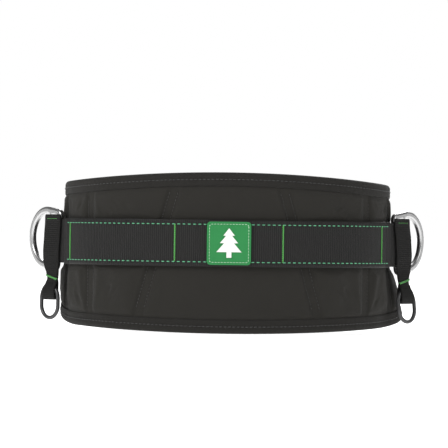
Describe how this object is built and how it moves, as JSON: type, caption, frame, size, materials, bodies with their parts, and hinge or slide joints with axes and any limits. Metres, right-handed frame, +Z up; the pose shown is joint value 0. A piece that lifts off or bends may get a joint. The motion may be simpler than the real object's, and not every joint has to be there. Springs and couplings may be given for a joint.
{
  "type": "tree climbing saddle",
  "caption": "Padded waist belt of a tree climbing saddle, with slotted hip D-rings, hanging accessory rings, tool webbing and a quick-release front closure.",
  "frame": {"origin": "middle of the waist opening, on the line through the widest points, level with the pad's lower edge", "axes": "+X to the wearer's right, +Y to the wearer's front, +Z up"},
  "size_m": [0.4112, 0.2575, 0.1623],
  "materials": {
    "shell_fabric": "dark ribbed woven",
    "binding_tape": "dark folded tape with black stitches",
    "lining_mesh": "dark spacer mesh",
    "foam": "closed-cell foam",
    "stiffener_sheet": "thin sheet",
    "load_webbing": "flat load webbing",
    "tool_webbing": "ribbed webbing with green stitch rows",
    "patch_cloth": null,
    "ring_alloy": "satin with polished edges",
    "accessory_webbing": "narrow cross-ribbed webbing",
    "small_ring_coating": "dark satin coating",
    "buckle_alloy": "dark anodised satin",
    "rivet_steel": "turned",
    "pin_steel": "ground",
    "spring_steel": "blued leaf",
    "button_alloy": "green anodised",
    "keeper_plastic": "moulded"
  },
  "bodies": {
    "root": {"pad_outer_shell": "shell_fabric", "pad_stiffener": "stiffener_sheet", "pad_foam_core": "foam", "pad_mesh_lining": "lining_mesh", "pad_edge_binding": "binding_tape", "main_webbing": "load_webbing", "tool_webbing": "tool_webbing", "badge_patch": "patch_cloth", "accessory_tab_left": "accessory_webbing", "accessory_tab_right": "accessory_webbing", "front_strap_left": "load_webbing", "front_strap_right": "load_webbing", "buckle_base": "buckle_alloy", "buckle_cover": "buckle_alloy", "buckle_rivets": "rivet_steel", "strap_pin": "pin_steel", "latch_spring_upper": "spring_steel", "latch_spring_lower": "spring_steel"},
    "d_ring_left": {"d_ring_left": "ring_alloy"},
    "d_ring_right": {"d_ring_right": "ring_alloy"},
    "accessory_loop_left": {"accessory_loop_left": "accessory_webbing"},
    "accessory_loop_right": {"accessory_loop_right": "accessory_webbing"},
    "accessory_ring_left": {"accessory_ring_left": "small_ring_coating"},
    "accessory_ring_right": {"accessory_ring_right": "small_ring_coating"},
    "buckle_tongue": {"buckle_tongue": "buckle_alloy"},
    "adjuster_bar": {"adjuster_bar": "pin_steel"},
    "release_button_upper": {"release_button_upper": "button_alloy"},
    "release_button_lower": {"release_button_lower": "button_alloy"},
    "strap_keeper": {"strap_keeper": "keeper_plastic"}
  },
  "joints": [
    {"name": "d_ring_left_swing", "type": "hinge", "parent": "root", "child": "d_ring_left", "pos_m": [-0.17316, -0.02433, 0.091], "axis": [-0.0749, 0.1069, -0.9914], "range_deg": [-12, 22], "deforming": ["main_webbing"]},
    {"name": "accessory_loop_left_swing", "type": "hinge", "parent": "root", "child": "accessory_loop_left", "pos_m": [-0.18196, -0.02889, 0.066], "axis": [-0.6691, 0.7431, 0], "range_deg": [-2, 80]},
    {"name": "accessory_ring_left_swing", "type": "hinge", "parent": "accessory_loop_left", "child": "accessory_ring_left", "pos_m": [-0.18196, -0.02889, 0.037], "axis": [-0.6691, 0.7431, 0], "range_deg": [-8, 70], "deforming": ["accessory_loop_left"]},
    {"name": "d_ring_right_swing", "type": "hinge", "parent": "root", "child": "d_ring_right", "pos_m": [0.17316, -0.02433, 0.091], "axis": [-0.0749, -0.1069, 0.9914], "range_deg": [-12, 22], "deforming": ["main_webbing"]},
    {"name": "accessory_loop_right_swing", "type": "hinge", "parent": "root", "child": "accessory_loop_right", "pos_m": [0.18196, -0.02889, 0.066], "axis": [-0.6691, -0.7431, 0], "range_deg": [-8, 80]},
    {"name": "accessory_ring_right_swing", "type": "hinge", "parent": "accessory_loop_right", "child": "accessory_ring_right", "pos_m": [0.18422, -0.03092, 0.03716], "axis": [-0.6691, -0.7431, 0], "range_deg": [-8, 70], "deforming": ["accessory_loop_right"]},
    {"name": "tongue_pull", "type": "slide", "parent": "root", "child": "buckle_tongue", "axis": [1, 0, 0], "range_m": [0, 0.04], "deforming": ["front_strap_right", "latch_spring_upper", "latch_spring_lower"]},
    {"name": "release_button_upper_press", "type": "slide", "parent": "root", "child": "release_button_upper", "axis": [0, -1, 0], "range_m": [0, 0.0029], "stiffness_N_per_m": 900, "deforming": ["latch_spring_upper"]},
    {"name": "release_button_lower_press", "type": "slide", "parent": "root", "child": "release_button_lower", "axis": [0, -1, 0], "range_m": [0, 0.0029], "stiffness_N_per_m": 900, "deforming": ["latch_spring_lower"]},
    {"name": "adjuster_bar_slide", "type": "slide", "parent": "buckle_tongue", "child": "adjuster_bar", "axis": [1, 0, 0], "range_m": [0, 0.004], "deforming": ["front_strap_right"]},
    {"name": "strap_keeper_slide", "type": "hinge", "parent": "root", "child": "strap_keeper", "pos_m": [0.05871, 0, 0.091], "axis": [0, 0, -1], "range_deg": [-20, 9]}
  ]
}
